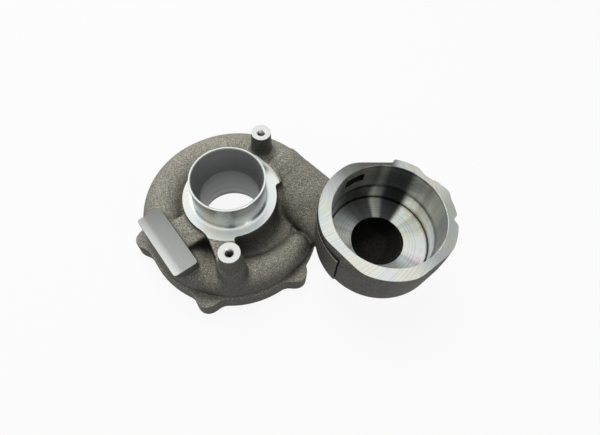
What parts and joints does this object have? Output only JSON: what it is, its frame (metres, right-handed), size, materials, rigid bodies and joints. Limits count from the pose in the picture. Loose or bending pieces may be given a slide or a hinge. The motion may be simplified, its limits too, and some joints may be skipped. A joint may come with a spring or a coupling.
{
  "type": "turbocharger compressor housing",
  "caption": "Cast volute housing of a turbocharger compressor: lugged back flange, central inlet tube, threaded posts, machined pad and a deep stepped outlet cup beside the scroll.",
  "frame": {"origin": "centre of the register bore in the plane of the back flange, on the axis of the inlet tube", "axes": "+Z along the inlet axis and out of the inlet tube, +X from the inlet axis towards the axis of the outlet cup"},
  "size_m": [0.2125, 0.1359, 0.07],
  "materials": {
    "casting": "shot-blasted cast skin with bright turned and milled faces"
  },
  "bodies": {
    "root": {"compressor_housing": "casting"}
  },
  "joints": []
}
